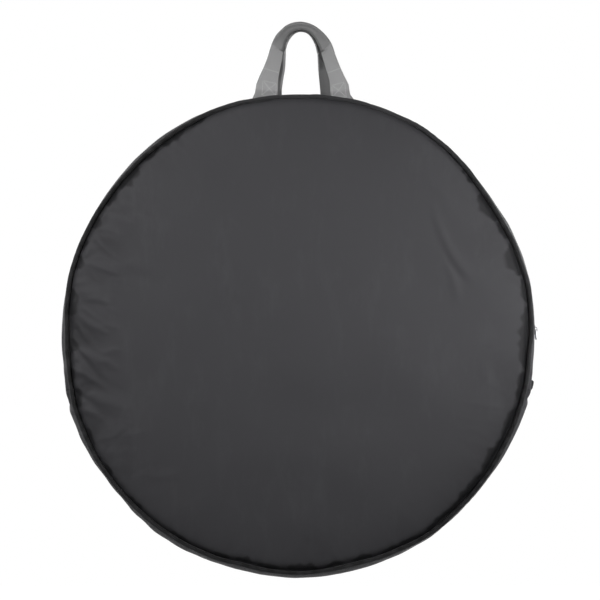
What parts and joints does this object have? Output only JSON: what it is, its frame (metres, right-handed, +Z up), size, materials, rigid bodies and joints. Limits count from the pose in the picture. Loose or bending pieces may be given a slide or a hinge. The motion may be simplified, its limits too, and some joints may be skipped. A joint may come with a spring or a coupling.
{
  "type": "bike wheel bag",
  "caption": "Round padded bag for one bicycle wheel: two soft discs joined by a gusset, a zip over the top arc, and webbing carry handles.",
  "frame": {"origin": "underside of the two grips at the middle of the bag's width and depth, where a hand or a hook holds it; the bag hangs below", "axes": "+Z up through the handles, -Y out of the front panel, +X to the right of the front panel, where the zip slider sits"},
  "size_m": [0.7613, 0.085, 0.8868],
  "materials": {
    "shell_nylon": "black-grey coated nylon, slightly sheeny",
    "foam": "dark padding foam",
    "lining": "grey plain-weave lining",
    "hub_patch": "coarse matt wear patch",
    "piping": "black covered cord",
    "binding": "black ribbed binding tape",
    "end_tab": "black folded tab",
    "zip_tape": "black woven zip tape",
    "zip_teeth": "black nylon coil",
    "slider_metal": "dark enamelled zinc",
    "pull_metal": "silver-grey wire",
    "webbing": "grey woven webbing"
  },
  "bodies": {
    "bag_body": {"back_shell": "shell_nylon", "back_foam": "foam", "back_lining": "lining", "back_hub_patch": "hub_patch", "back_piping": "piping", "back_seam_binding": "binding", "front_shell_lower": "shell_nylon", "front_foam_lower": "foam", "front_lining_lower": "lining", "front_piping_lower": "piping", "front_seam_binding_lower": "binding", "lower_gusset": "shell_nylon", "lower_gusset_foam": "foam", "lower_gusset_lining": "lining", "back_zip_gusset": "shell_nylon", "back_zip_tape": "zip_tape", "back_zip_teeth": "zip_teeth", "zip_end_tab_right": "end_tab", "zip_end_tab_left": "end_tab"},
    "front_flap": {"front_shell": "shell_nylon", "front_foam": "foam", "front_lining": "lining", "front_hub_patch": "hub_patch", "front_piping": "piping", "front_seam_binding": "binding", "front_zip_gusset": "shell_nylon", "front_zip_tape": "zip_tape", "front_zip_teeth": "zip_teeth"},
    "front_handle": {"front_handle": "webbing"},
    "back_handle": {"back_handle": "webbing"},
    "zip_slider": {"zip_slider": "slider_metal"},
    "zip_pull": {"zip_pull": "pull_metal"}
  },
  "joints": [
    {"name": "flap_fold", "type": "hinge", "parent": "bag_body", "child": "front_flap", "pos_m": [0, -0.0456, -0.5702], "axis": [1, 0, 0], "range_deg": [0, 160]},
    {"name": "front_handle_fold", "type": "hinge", "parent": "front_flap", "child": "front_handle", "pos_m": [0, -0.0345, -0.10132], "axis": [1, 0, 0], "range_deg": [0, 150]},
    {"name": "back_handle_fold", "type": "hinge", "parent": "bag_body", "child": "back_handle", "pos_m": [0, 0.0345, -0.10132], "axis": [-1, 0, 0], "range_deg": [0, 150]},
    {"name": "slider_travel", "type": "hinge", "parent": "bag_body", "child": "zip_slider", "pos_m": [0, 0, -0.47702], "axis": [0, -1, 0], "range_deg": [-9, 189]},
    {"name": "pull_swing", "type": "hinge", "parent": "zip_slider", "child": "zip_pull", "pos_m": [0.3811, 0, -0.47702], "axis": [0, -1, 0], "range_deg": [0, 170]}
  ]
}
